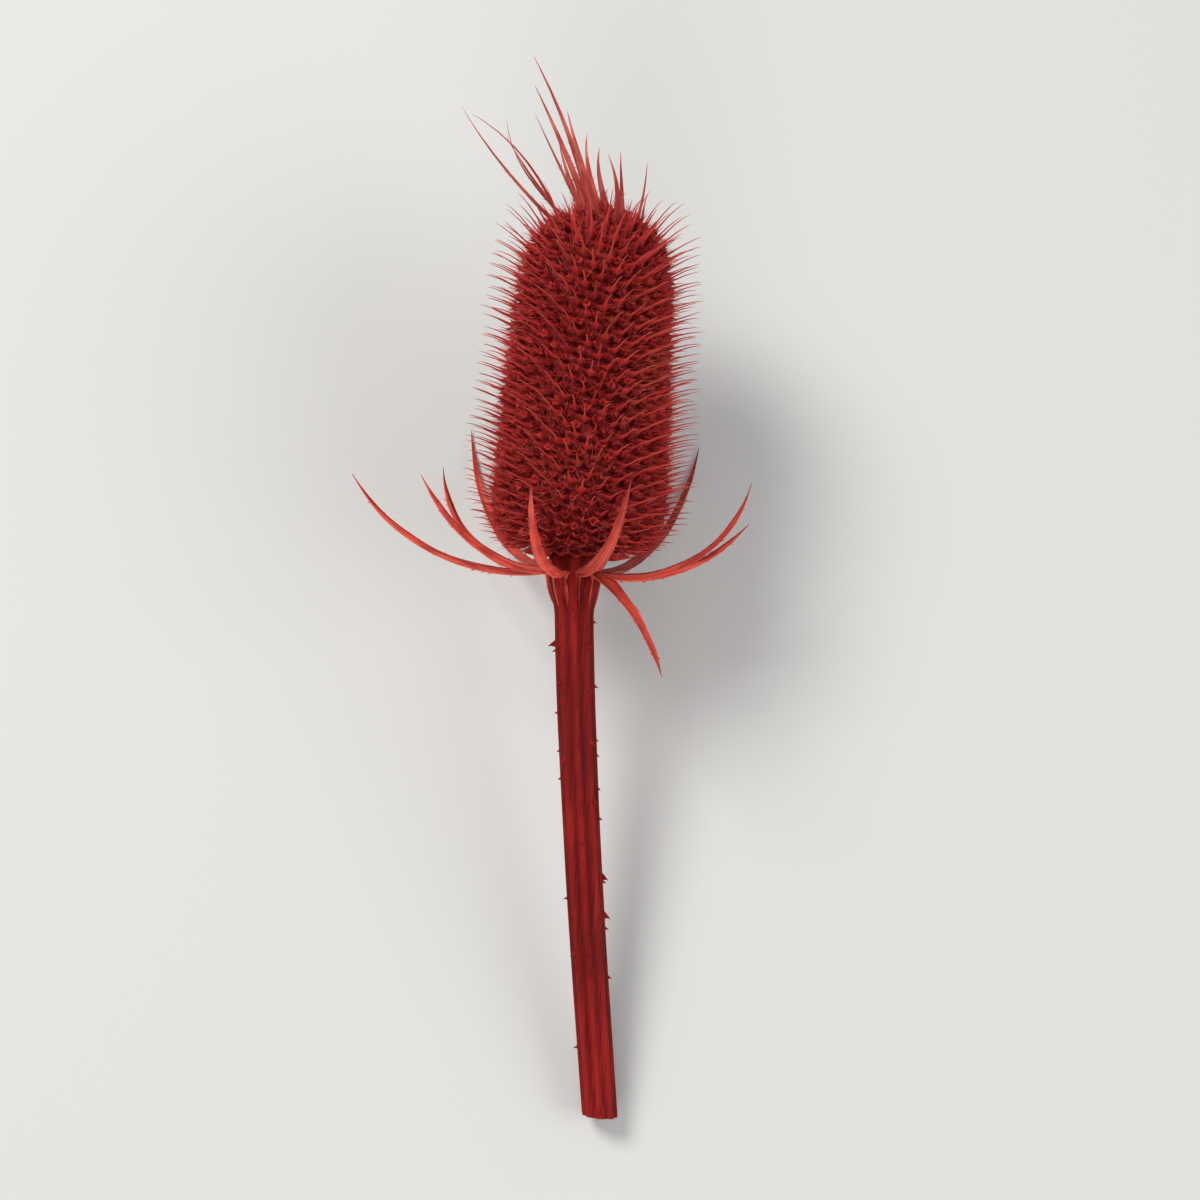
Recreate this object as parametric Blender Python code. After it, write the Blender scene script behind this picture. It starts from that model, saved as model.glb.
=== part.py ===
"""A dyed and dried teasel seed head on a short cut stem, lying on a level surface.

The plant is modelled upright on its own axis, with the foot of the seed head at height zero and
the cut stem below it. It is then laid down on three points: the lower edge of the stem's cut end
and the tips of two long bracts. Azimuths are measured round the axis from the side that faces
the surface.
"""

import math
import random

import bmesh
import bpy
import numpy as np
from mathutils import Matrix, Vector

MM = 0.001
STEM_SEED = 5
BRACT_SEED = 23
HEAD_SEED = 41
GAP = 0.3 * MM
GOLDEN_ANGLE = math.pi * (3 - math.sqrt(5))

# Seed head: a body of revolution that tapers upward, closed at both ends by superellipse curves
HEAD_LENGTH = 47 * MM
HEAD_RADIUS = 11.2 * MM
HEAD_TAPER = 0.18
CURVES_MEET_AT = 17 * MM
FOOT_POWER = 6.0
CROWN_POWER = 8.0
FOOT_FLAT = 0.8 * MM
MERIDIAN_STEPS = 2001
MAP_RADIUS = 1000  # any large number keeps neighbours on the hull apart

# Scales: one to each site of a golden-angle spiral, drawn out into an awn
SCALES = 700
VALLEY_DEPTH = 0.45 * MM
SCALE_RISE = 0.55 * MM
AWN_BASE_SHARE = 0.42
FOOT_STEP = math.radians(120)
FOOT_ANGLES = [math.radians(30) + FOOT_STEP * corner for corner in range(3)]
AWNS_START = 1.3 * MM
LOW_AWN = 2.5 * MM
SIDE_AWN = 4.7 * MM
SHOULDER_AWN = 6.4 * MM
SIDE_AWNS_FROM = 8 * MM
SHOULDER_FROM = 36 * MM
CROWN_SCALES = 30
CROWN_EVERY = 2  # of the scales on the crown, each second one is drawn out into a blade
CROWN_AWN_RANGE = (8 * MM, 30 * MM)
CROWN_AWN_SCATTER = 0.5
CROWN_SHORT_AWN = 3 * MM  # between the blades
CROWN_REACH = 7 * MM
CROWN_SPREAD = math.radians(42)
CROWN_LEANS_TO = math.radians(270)
CROWN_LEAN = 0.35
SIDE_AWN_SCATTER = 0.5 * MM
LOWEST_LIFT = math.radians(5)
UPWARD_LEAN = math.radians(11)
AWN_SCATTER = math.radians(3.5)
BENT_AWN_OVER = 8.5 * MM
BEND_AT = 0.5
BEND_SHARE = 0.05

# Stem
STEM_LENGTH = 75 * MM
CUT_RADIUS = 2.5 * MM
NECK_RADIUS = 2.75 * MM
DISC_RADIUS = 3.6 * MM
DISC_FROM = -3.1 * MM
FLARE_LENGTH = 4.5 * MM
STEM_SWEEP = 9 * MM
SWEEP_POWER = 1.25
RIDGES = 8
RIDGE_HALF_ANGLE = math.radians(8.5)
GROOVE_SHARE = 0.87
SHAFT_RINGS = 27
FLARE_RINGS = 4
FLARE_CURVE = 1.5
PITH_RADIUS = 1.15 * MM
PITH_DEPTH = 0.8 * MM
PRICKLES = 34
PRICKLE_HEIGHT = 1.0 * MM
PRICKLE_SHARE = (0.6, 1)
PRICKLE_HOOK = 0.5 * MM
PRICKLE_CROWDING = 0.6
PRICKLE_MARGIN = 0.1 * MM

# Bracts
BRACTS = 11
REST_BRACTS = (1, BRACTS - 1)
REST_BRACT_LENGTH = 36 * MM
SHORT_BRACT_LENGTH = 17 * MM
SHORT_LIFT = (math.radians(-10), math.radians(44))
HANGING_BRACT = 4
HANGING_BRACT_LENGTH = 19 * MM
HANGING_LIFT = (math.radians(-22), math.radians(-66))
BRACT_LENGTH_RANGE = (21 * MM, 33 * MM)
BRACT_WIDTH = 3.2 * MM
BRACT_FOOT_SHARE = 0.5
BRACT_WIDEST_AT = 0.16
BRACT_TIP_WIDTH = 0.45 * MM
BRACT_TAPER = 0.8
BRACT_EDGE = 0.6 * MM
BRACT_FOLD = 0.2
BRACT_STATIONS = 13
BRACT_HEIGHT = -1.8 * MM
REST_LIFT = (math.radians(-3), math.radians(76))
FIRST_LIFT_RANGE = (math.radians(-14), math.radians(-1))
LAST_LIFT_RANGE = (math.radians(52), math.radians(88))
BRACT_SWAY = 2.5 * MM
BRACT_TURN = math.radians(4)

# Laying down: the search for the angle at which three points touch
STEEPEST_REST = math.radians(40)
REST_STEPS = 60

# Colours, as linear red, green and blue
STEM_COLOUR = (0.200, 0.014, 0.010)
BRACT_COLOUR = (0.640, 0.045, 0.022)
HEAD_COLOUR = (0.150, 0.010, 0.013)
DRY_ROUGHNESS = 0.7


def clear_scene():
    for thing in list(bpy.data.objects):
        bpy.data.objects.remove(thing, do_unlink=True)


def plain_material(name, colour):
    material = bpy.data.materials.new(name)
    material.use_nodes = True
    shader = material.node_tree.nodes["Principled BSDF"]
    shader.inputs["Base Color"].default_value = (*colour, 1)
    shader.inputs["Roughness"].default_value = DRY_ROUGHNESS
    shader.inputs["Metallic"].default_value = 0
    return material


def add_object(name, mesh, material, plant):
    mesh.materials.append(material)
    thing = bpy.data.objects.new(name, mesh)
    thing.parent = plant
    bpy.context.scene.collection.objects.link(thing)
    return thing


def mesh_from(name, points, faces):
    mesh = bpy.data.meshes.new(name)
    mesh.from_pydata([tuple(point) for point in points], [], faces)
    mesh.update()
    return mesh


def round_axis(azimuth):
    """Unit vectors outward and sideways at an azimuth; azimuth zero faces the surface."""
    outward = Vector((math.sin(azimuth), math.cos(azimuth), 0))
    sideways = Vector((-math.cos(azimuth), math.sin(azimuth), 0))
    return outward, sideways


# The seed head


def head_meridian():
    """Columns along the outline from foot to crown: area, radius, height, lift of the normal, map height.

    The map height is the height of the same point on a unit sphere's Mercator map, so it keeps
    the shape of small figures, and the hull of the points on that sphere joins true neighbours.
    """
    turn = np.linspace(-math.pi / 2, math.pi / 2, MERIDIAN_STEPS)
    share = np.abs(np.sin(turn))
    power = np.where(turn < 0, FOOT_POWER, CROWN_POWER)
    reach = np.where(turn < 0, -CURVES_MEET_AT, HEAD_LENGTH - CURVES_MEET_AT)
    height = CURVES_MEET_AT + reach * share
    radius = HEAD_RADIUS * (1 - HEAD_TAPER * height / HEAD_LENGTH) * np.sqrt(1 - share ** power)
    step = np.hypot(np.diff(radius), np.diff(height))
    middle_radius = (radius[1:] + radius[:-1]) / 2
    return {
        "area": np.append(0, np.cumsum(2 * math.pi * middle_radius * step)),
        "radius": radius,
        "height": height,
        "lift": np.arctan2(-np.gradient(radius), np.gradient(height)),
        "map": np.append(0, np.cumsum(step / middle_radius)),
    }


def scale_sites():
    """Where each scale sits: its frame on the body and its place on the mapped sphere."""
    meridian = head_meridian()
    area = meridian["area"]
    middle_map = float(np.interp(area[-1] / 2, area, meridian["map"]))
    sites = []
    for number in range(SCALES):
        wanted = area[-1] * (number + 0.5) / SCALES
        radius, height, lift, on_map = (
            float(np.interp(wanted, area, meridian[column]))
            for column in ("radius", "height", "lift", "map")
        )
        azimuth = number * GOLDEN_ANGLE
        outward, sideways = round_axis(azimuth)
        up = Vector((0, 0, 1))
        on_map -= middle_map
        sites.append({
            "number": number,
            "place": outward * radius + up * max(height, FOOT_FLAT),
            "normal": outward * math.cos(lift) + up * math.sin(lift),
            "north": up * math.cos(lift) - outward * math.sin(lift),
            "east": sideways,
            "azimuth": azimuth,
            "height": height,
            "lift": lift,
            "crown": number >= SCALES - CROWN_SCALES and number % CROWN_EVERY == 0,
            "mapped": outward / math.cosh(on_map) + up * math.tanh(on_map),
        })
    return sites, math.sqrt(area[-1] / SCALES / math.pi)


def neighbour_triangles(sites):
    """The triangles that join neighbouring sites: the convex hull of their places on a sphere."""
    hull = bmesh.new()
    numbered = {hull.verts.new(site["mapped"] * MAP_RADIUS): site["number"] for site in sites}
    bmesh.ops.convex_hull(hull, input=list(hull.verts))
    triangles = [[numbered[corner] for corner in face.verts] for face in hull.faces]
    hull.free()
    return triangles


def awn_length(site, draw):
    """Short at the foot, longer at the shoulder, and longest on the side to which the crown leans."""
    if site["crown"]:
        shortest, longest = CROWN_AWN_RANGE
        facing = (1 + math.cos(site["azimuth"] - CROWN_LEANS_TO)) / 2
        return (shortest + (longest - shortest) * facing) * (1 - draw.random() * CROWN_AWN_SCATTER)
    if site["number"] >= SCALES - CROWN_SCALES:
        return CROWN_SHORT_AWN
    if site["height"] < SIDE_AWNS_FROM:
        return LOW_AWN + (SIDE_AWN - LOW_AWN) * site["height"] / SIDE_AWNS_FROM
    rise = max(0, site["height"] - SHOULDER_FROM) / (HEAD_LENGTH - SHOULDER_FROM)
    return SIDE_AWN + (SHOULDER_AWN - SIDE_AWN) * rise + draw.uniform(-1, 1) * SIDE_AWN_SCATTER


def awn_direction(site, draw):
    """Outward and a little upward, fanning out over the crown, which leans to one side."""
    upright = site["lift"] / (math.pi / 2)
    lift = max(LOWEST_LIFT, site["lift"] + UPWARD_LEAN * (1 - max(0, upright)))
    if site["crown"]:
        lift = math.pi / 2 - CROWN_SPREAD * site["place"].xy.length / CROWN_REACH
    lift = min(lift + draw.uniform(-1, 1) * AWN_SCATTER, math.pi / 2)
    outward, _ = round_axis(site["azimuth"] + draw.uniform(-1, 1) * AWN_SCATTER)
    direction = outward * math.cos(lift) + Vector((0, 0, math.sin(lift)))
    if site["crown"]:
        direction += round_axis(CROWN_LEANS_TO)[0] * CROWN_LEAN
    return direction.normalized()


def bearing(point, site):
    """The direction of a point from a site, counted round the normal from the site's east."""
    away = point - site["place"]
    return math.atan2(away.dot(site["north"]), away.dot(site["east"]))


def triangle_ring(centre, site, size):
    """Three points round an awn, with one below it as its keel."""
    return [
        centre + (site["east"] * math.cos(angle) + site["north"] * math.sin(angle)) * size
        for angle in FOOT_ANGLES
    ]


def add_awned_cell(points, faces, site, corners, size, draw):
    """Fills one cell of the body with a scale: a raised three-sided foot and a pointed awn."""
    centre = site["place"] + site["normal"] * SCALE_RISE
    foot = len(points)
    points.extend(triangle_ring(centre, site, size))

    def foot_near(corner):
        turned = bearing(points[corner], site) - FOOT_ANGLES[0] + FOOT_STEP / 2
        return int(turned % (2 * math.pi) // FOOT_STEP)

    for here, following in zip(corners, corners[1:] + corners[:1]):
        near = foot_near(here)
        faces.append((here, following, foot + near))
        while near != foot_near(following):
            faces.append((foot + near, following, foot + (near + 1) % 3))
            near = (near + 1) % 3

    length = awn_length(site, draw)
    direction = awn_direction(site, draw)
    bend = site["east"] * draw.uniform(-1, 1) + site["north"] * draw.uniform(-1, 1)
    top = foot
    if length > BENT_AWN_OVER:
        top = len(points)
        middle = centre + direction * length * BEND_AT + bend * length * BEND_SHARE
        points.extend(triangle_ring(middle, site, size * (1 - BEND_AT)))
        for side in range(3):
            after = (side + 1) % 3
            faces.append((foot + side, foot + after, top + after))
            faces.append((foot + side, top + after, top + side))
    points.append(centre + direction * length)
    for side in range(3):
        faces.append((top + side, top + (side + 1) % 3, len(points) - 1))


def head_mesh():
    """The body's surface as one cell round each site, with a valley between every three."""
    draw = random.Random(HEAD_SEED)
    sites, cell_size = scale_sites()
    triangles = neighbour_triangles(sites)
    points = []
    faces = []
    corners_of = [[] for _ in sites]
    for corner, triangle in enumerate(triangles):
        middle = sum((sites[number]["place"] for number in triangle), Vector()) / 3
        normal = sum((sites[number]["normal"] for number in triangle), Vector()).normalized()
        on_foot = all(sites[number]["height"] < AWNS_START for number in triangle)
        points.append(middle if on_foot else middle - normal * VALLEY_DEPTH)
        for number in triangle:
            corners_of[number].append(corner)
    for site, corners in zip(sites, corners_of):
        corners.sort(key=lambda corner: bearing(points[corner], site))
        if site["height"] > AWNS_START:
            add_awned_cell(points, faces, site, corners, cell_size * AWN_BASE_SHARE, draw)
            continue
        points.append(site["place"])
        for here, following in zip(corners, corners[1:] + corners[:1]):
            faces.append((here, following, len(points) - 1))
    return mesh_from("head", points, faces)


# The stem


def flare_share(height):
    """From 0 on the shaft to 1 on the disc."""
    return min(1, max(0, (height - DISC_FROM + FLARE_LENGTH) / FLARE_LENGTH))


def stem_radius(height):
    """The shaft thickens towards the head, and flares into the disc that carries it."""
    along = (height + STEM_LENGTH) / (DISC_FROM + STEM_LENGTH)
    shaft = CUT_RADIUS + (NECK_RADIUS - CUT_RADIUS) * min(1, along)
    return shaft + (DISC_RADIUS - NECK_RADIUS) * flare_share(height) ** FLARE_CURVE


def stem_sweep(height):
    """How far the stem has bent to one side of the head's axis, growing towards its cut end."""
    return STEM_SWEEP * max(0, -height / STEM_LENGTH) ** SWEEP_POWER


def stem_ring(height, radius, groove_share):
    """One ring of the stem: each ridge has a flat crest of two points and a groove after it."""
    aside = stem_sweep(height)
    ring = []
    for ridge in range(RIDGES):
        crest = 2 * math.pi * ridge / RIDGES
        groove = crest + math.pi / RIDGES
        for azimuth, reach in (
            (crest - RIDGE_HALF_ANGLE, radius),
            (crest + RIDGE_HALF_ANGLE, radius),
            (groove, radius * groove_share),
        ):
            outward, _ = round_axis(azimuth)
            ring.append(outward * reach + Vector((aside, 0, height)))
    return ring


def stem_rings():
    """From the floor of the pith hollow, round the cut edge and up to the disc."""
    cut = -STEM_LENGTH
    top = FOOT_FLAT - GAP
    rings = [
        stem_ring(cut + PITH_DEPTH, PITH_RADIUS, 1),
        stem_ring(cut, PITH_RADIUS, 1),
    ]
    shaft = np.linspace(cut, DISC_FROM - FLARE_LENGTH, SHAFT_RINGS)
    flare = np.linspace(DISC_FROM - FLARE_LENGTH, DISC_FROM, FLARE_RINGS + 1)[1:]
    for height in map(float, (*shaft, *flare, top)):
        groove_share = GROOVE_SHARE + (1 - GROOVE_SHARE) * flare_share(height)
        rings.append(stem_ring(height, stem_radius(height), groove_share))
    return rings


def raise_prickles(mesh, crest_faces, draw):
    """Small hooked prickles on the crests of the ridges, closer together near the head."""
    work = bmesh.new()
    work.from_mesh(mesh)
    work.faces.ensure_lookup_table()
    chosen = [work.faces[number] for number in crest_faces]
    bmesh.ops.inset_individual(work, faces=chosen, thickness=PRICKLE_MARGIN)
    tips = bmesh.ops.poke(work, faces=chosen)["verts"]
    for tip in tips:
        outward = Vector((tip.co.x - stem_sweep(tip.co.z), tip.co.y, 0)).normalized()
        height = PRICKLE_HEIGHT * draw.uniform(*PRICKLE_SHARE)
        tip.co += outward * height - Vector((0, 0, PRICKLE_HOOK))
    work.to_mesh(mesh)
    work.free()


def stem_mesh():
    draw = random.Random(STEM_SEED)
    rings = stem_rings()
    count = len(rings[0])
    points = [point for ring in rings for point in ring]
    faces = [tuple(range(count))[::-1]]
    crest_faces = []
    for level in range(len(rings) - 1):
        for side in range(count):
            after = (side + 1) % count
            low = level * count
            high = low + count
            on_shaft = 2 <= level < 1 + SHAFT_RINGS
            if on_shaft and side % 3 == 0:
                crest_faces.append(len(faces))
            faces.append((low + side, low + after, high + after, high + side))
    faces.append(tuple(range(len(points) - count, len(points))))
    faces = [face[::-1] for face in faces]
    mesh = mesh_from("stem", points, faces)
    towards_head = [draw.random() ** PRICKLE_CROWDING for _ in range(PRICKLES)]
    picked = sorted({int(share * len(crest_faces)) for share in towards_head})
    raise_prickles(mesh, [crest_faces[number] for number in picked], draw)
    return mesh


# The bracts


def bract_width(along):
    if along < BRACT_WIDEST_AT:
        swell = along / BRACT_WIDEST_AT
        return BRACT_WIDTH * (BRACT_FOOT_SHARE + (1 - BRACT_FOOT_SHARE) * swell)
    taper = (along - BRACT_WIDEST_AT) / (1 - BRACT_WIDEST_AT)
    return BRACT_WIDTH + (BRACT_TIP_WIDTH - BRACT_WIDTH) * taper ** BRACT_TAPER


def bract_section(along):
    """Six points across the blade: two thick edges folded up, and a keel under a shallow channel."""
    half = bract_width(along) / 2
    edge = min(BRACT_EDGE, 1.4 * half)
    fold = BRACT_FOLD * half * 2
    return [
        (-half, fold + edge / 2),
        (-half, fold - edge / 2),
        (0, -edge),
        (half, fold - edge / 2),
        (half, fold + edge / 2),
        (0, edge / 3),
    ]


def bract_mesh(name, azimuth, length, first_lift, last_lift, sway):
    """A blade along an arc whose lift above the disc's plane grows evenly from foot to spine."""
    outward, sideways = round_axis(azimuth)
    up = Vector((0, 0, 1))
    bend_radius = length / (last_lift - first_lift)
    start = outward * (DISC_RADIUS + GAP) + up * BRACT_HEIGHT
    points = []
    for station in range(BRACT_STATIONS):
        along = station / BRACT_STATIONS
        lift = first_lift + (last_lift - first_lift) * along
        centre = start + sideways * sway * along ** 2
        centre += outward * bend_radius * (math.sin(lift) - math.sin(first_lift))
        centre += up * bend_radius * (math.cos(first_lift) - math.cos(lift))
        inward = up * math.cos(lift) - outward * math.sin(lift)
        points.extend(centre + sideways * side + inward * rise for side, rise in bract_section(along))
    spine = start + sideways * sway
    spine += outward * bend_radius * (math.sin(last_lift) - math.sin(first_lift))
    spine += up * bend_radius * (math.cos(first_lift) - math.cos(last_lift))
    points.append(spine)
    return mesh_from(name, points, bract_faces(len(points) - 1))


def bract_faces(spine):
    """Triangles whose diagonals lie alike on the upper and the lower side of the blade."""
    count = 6
    faces = [(side + 1, side, 0) for side in range(1, count - 1)]
    for station in range(BRACT_STATIONS - 1):
        for side in range(count):
            low = station * count + side
            low_after = station * count + (side + 1) % count
            high = low + count
            high_after = low_after + count
            if side in (1, 4):
                faces.append((low, low_after, high))
                faces.append((low_after, high_after, high))
            else:
                faces.append((low, high_after, high))
                faces.append((low, low_after, high_after))
    last = spine - count
    faces.extend((last + side, last + (side + 1) % count, spine) for side in range(count))
    return faces


def bract_shape(number, draw):
    """Length, first and last lift, sway and turn of one bract.

    The two that rest on the surface are mirror images, the one between them is short, and one hangs.
    """
    length = draw.uniform(*BRACT_LENGTH_RANGE)
    lifts = (draw.uniform(*FIRST_LIFT_RANGE), draw.uniform(*LAST_LIFT_RANGE))
    sway = draw.uniform(-1, 1) * BRACT_SWAY
    turn = draw.uniform(-1, 1) * BRACT_TURN
    if number in REST_BRACTS:
        return REST_BRACT_LENGTH, REST_LIFT, 0, 0
    if number == 0:
        return SHORT_BRACT_LENGTH, SHORT_LIFT, 0, 0
    if number == HANGING_BRACT:
        return HANGING_BRACT_LENGTH, HANGING_LIFT, sway, turn
    return length, lifts, sway, turn


# Laying the plant down


def lowest(points, lean):
    """The lowest height among points once the plant's axis lies at this angle to the surface."""
    return min(point.z * math.sin(lean) - point.y * math.cos(lean) for point in points)


def resting_lean(stem_points, bract_points):
    """The angle of the axis at which the stem's cut end and the long bracts are equally low."""
    low, high = 0, STEEPEST_REST
    for _ in range(REST_STEPS):
        lean = (low + high) / 2
        if lowest(stem_points, lean) < lowest(bract_points, lean):
            high = lean
        else:
            low = lean
    return lean


def lay_down(plant, things, stem, rest_bracts):
    """Turns the plant onto its three points, and centres its box over the origin."""
    stem_points = [vertex.co for vertex in stem.data.vertices]
    bract_points = [vertex.co for bract in rest_bracts for vertex in bract.data.vertices]
    lean = resting_lean(stem_points, bract_points)
    turn = Matrix.Rotation(lean - math.pi / 2, 4, "X")
    placed = np.array([turn @ vertex.co for thing in things for vertex in thing.data.vertices])
    lowest_corner, highest_corner = placed.min(axis=0), placed.max(axis=0)
    middle = (lowest_corner + highest_corner) / 2
    plant.rotation_euler = turn.to_euler()
    plant.location = (-middle[0], -middle[1], -lowest_corner[2])


def main():
    clear_scene()
    plant = bpy.data.objects.new("plant", None)
    bpy.context.scene.collection.objects.link(plant)
    stem = add_object("stem", stem_mesh(), plain_material("stem", STEM_COLOUR), plant)
    bract_material = plain_material("bract", BRACT_COLOUR)
    bracts = []
    draw = random.Random(BRACT_SEED)
    for number in range(BRACTS):
        name = f"bract_{number + 1}"
        length, lifts, sway, turn = bract_shape(number, draw)
        azimuth = 2 * math.pi * number / BRACTS + turn
        mesh = bract_mesh(name, azimuth, length, *lifts, sway)
        bracts.append(add_object(name, mesh, bract_material, plant))
    head = add_object("head", head_mesh(), plain_material("head", HEAD_COLOUR), plant)
    lay_down(plant, [stem, head, *bracts], stem, [bracts[number] for number in REST_BRACTS])


main()
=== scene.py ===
"""The looks of a dyed and dried teasel seed head that lies on three points.

Every piece is made upright on the plant's own axis, with the foot of the head at height zero, by
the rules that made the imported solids, and is then turned into the frame. Azimuths are measured
round the axis from the side that faces the surface.
"""

import math
import random

import bpy
import numpy as np
from mathutils import Matrix, Vector


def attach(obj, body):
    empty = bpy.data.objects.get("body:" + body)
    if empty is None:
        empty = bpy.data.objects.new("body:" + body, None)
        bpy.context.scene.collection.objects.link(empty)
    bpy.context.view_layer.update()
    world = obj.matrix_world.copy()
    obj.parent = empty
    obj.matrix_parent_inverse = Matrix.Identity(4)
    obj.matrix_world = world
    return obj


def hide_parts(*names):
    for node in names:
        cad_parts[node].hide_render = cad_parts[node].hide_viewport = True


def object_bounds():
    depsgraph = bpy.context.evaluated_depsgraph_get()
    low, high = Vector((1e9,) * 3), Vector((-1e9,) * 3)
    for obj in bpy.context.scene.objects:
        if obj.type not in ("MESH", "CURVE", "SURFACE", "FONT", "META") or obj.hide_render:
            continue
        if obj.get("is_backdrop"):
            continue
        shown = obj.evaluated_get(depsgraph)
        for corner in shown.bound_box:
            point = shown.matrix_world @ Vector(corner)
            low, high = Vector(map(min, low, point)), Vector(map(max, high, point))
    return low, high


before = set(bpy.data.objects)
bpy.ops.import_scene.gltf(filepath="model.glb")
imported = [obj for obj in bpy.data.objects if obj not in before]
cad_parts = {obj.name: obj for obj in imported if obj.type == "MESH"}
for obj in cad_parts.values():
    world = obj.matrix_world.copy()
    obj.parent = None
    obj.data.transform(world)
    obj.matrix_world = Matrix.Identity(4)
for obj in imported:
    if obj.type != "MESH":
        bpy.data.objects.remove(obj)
CAD_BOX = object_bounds()

MM = 0.001
STEM_SEED = 5
BRACT_SEED = 23
HEAD_SEED = 41
LOOK_SEED = 7
GOLDEN_ANGLE = math.pi * (3 - math.sqrt(5))
UP = np.array([0.0, 0.0, 1.0])
TONE_SHIFT = 91  # keeps the grain of one blade from repeating on the next
SIDE_SHIFT = 37  # the same across fine hairs

# The seed head's body and its scales, as in the solids
HEAD_LENGTH = 47 * MM
HEAD_RADIUS = 11.2 * MM
HEAD_TAPER = 0.18
CURVES_MEET_AT = 17 * MM
FOOT_POWER = 6.0
CROWN_POWER = 8.0
FOOT_FLAT = 0.8 * MM
MERIDIAN_STEPS = 2001
SCALES = 700
SCALE_RISE = 0.55 * MM
AWNS_START = 1.3 * MM
LOW_AWN = 2.5 * MM
SIDE_AWN = 4.7 * MM
SHOULDER_AWN = 6.4 * MM
SIDE_AWNS_FROM = 8 * MM
SHOULDER_FROM = 36 * MM
CROWN_SCALES = 30
CROWN_EVERY = 2  # of the scales on the crown, each second one is drawn out into a blade
CROWN_AWN_RANGE = (8 * MM, 30 * MM)
CROWN_AWN_SCATTER = 0.5
CROWN_SHORT_AWN = 3 * MM  # between the blades
CROWN_REACH = 7 * MM
CROWN_SPREAD = math.radians(42)
CROWN_LEANS_TO = math.radians(270)
CROWN_LEAN = 0.35
SIDE_AWN_SCATTER = 0.5 * MM
LOWEST_LIFT = math.radians(5)
UPWARD_LEAN = math.radians(11)
AWN_SCATTER = math.radians(3.5)

# The stem, as in the solids
STEM_LENGTH = 75 * MM
CUT_RADIUS = 2.5 * MM
NECK_RADIUS = 2.75 * MM
DISC_RADIUS = 3.6 * MM
DISC_FROM = -3.1 * MM
DISC_TOP = 0.5 * MM
FLARE_LENGTH = 4.5 * MM
FLARE_CURVE = 1.5
STEM_SWEEP = 9 * MM
SWEEP_POWER = 1.25
RIDGES = 8
GROOVE_SHARE = 0.87
SHAFT_RINGS = 27
PITH_DEPTH = 0.8 * MM
PRICKLES = 34
PRICKLE_HEIGHT = 1.0 * MM
PRICKLE_SHARE = (0.6, 1)
PRICKLE_HOOK = 0.5 * MM
PRICKLE_CROWDING = 0.6

# The bracts, as in the solids
BRACTS = 11
REST_BRACTS = (1, BRACTS - 1)
REST_BRACT_LENGTH = 36 * MM
SHORT_BRACT_LENGTH = 17 * MM
SHORT_LIFT = (math.radians(-10), math.radians(44))
HANGING_BRACT = 4
HANGING_BRACT_LENGTH = 19 * MM
HANGING_LIFT = (math.radians(-22), math.radians(-66))
BRACT_LENGTH_RANGE = (21 * MM, 33 * MM)
BRACT_WIDTH = 3.2 * MM
BRACT_FOOT_SHARE = 0.5
BRACT_WIDEST_AT = 0.16
BRACT_TIP_WIDTH = 0.45 * MM
BRACT_TAPER = 0.8
BRACT_FOLD = 0.2
BRACT_HEIGHT = -1.8 * MM
REST_LIFT = (math.radians(-3), math.radians(76))
FIRST_LIFT_RANGE = (math.radians(-14), math.radians(-1))
LAST_LIFT_RANGE = (math.radians(52), math.radians(88))
BRACT_SWAY = 2.5 * MM
BRACT_TURN = math.radians(4)


def unit(vectors):
    return vectors / np.linalg.norm(vectors, axis=-1, keepdims=True)


def round_axis(azimuth):
    """Unit vectors outward and sideways at an azimuth; azimuth zero faces the surface."""
    outward = np.array([math.sin(azimuth), math.cos(azimuth), 0.0])
    sideways = np.array([-math.cos(azimuth), math.sin(azimuth), 0.0])
    return outward, sideways


def round_angles(count):
    """Even angles round a ring."""
    return np.arange(count) * 2 * math.pi / count


def plant_matrix():
    """Turns the upright plant into the frame: the disc's flat top gives its axis and its place."""
    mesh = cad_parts["stem"].data
    top = max(mesh.polygons, key=lambda face: face.area * face.normal.y)
    axis = Vector(top.normal)
    corners = {tuple(round(place, 7) for place in vertex.co) for vertex in mesh.vertices}
    level = max(Vector(corner).dot(axis) for corner in corners)
    rim = [Vector(corner) for corner in corners if Vector(corner).dot(axis) > level - 0.01 * MM]
    centre = sum(rim, Vector()) / len(rim)
    sideways = Vector((1, 0, 0))
    turn = Matrix((sideways, axis.cross(sideways), axis)).transposed().to_4x4()
    return Matrix.Translation(centre - axis * DISC_TOP) @ turn


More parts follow.
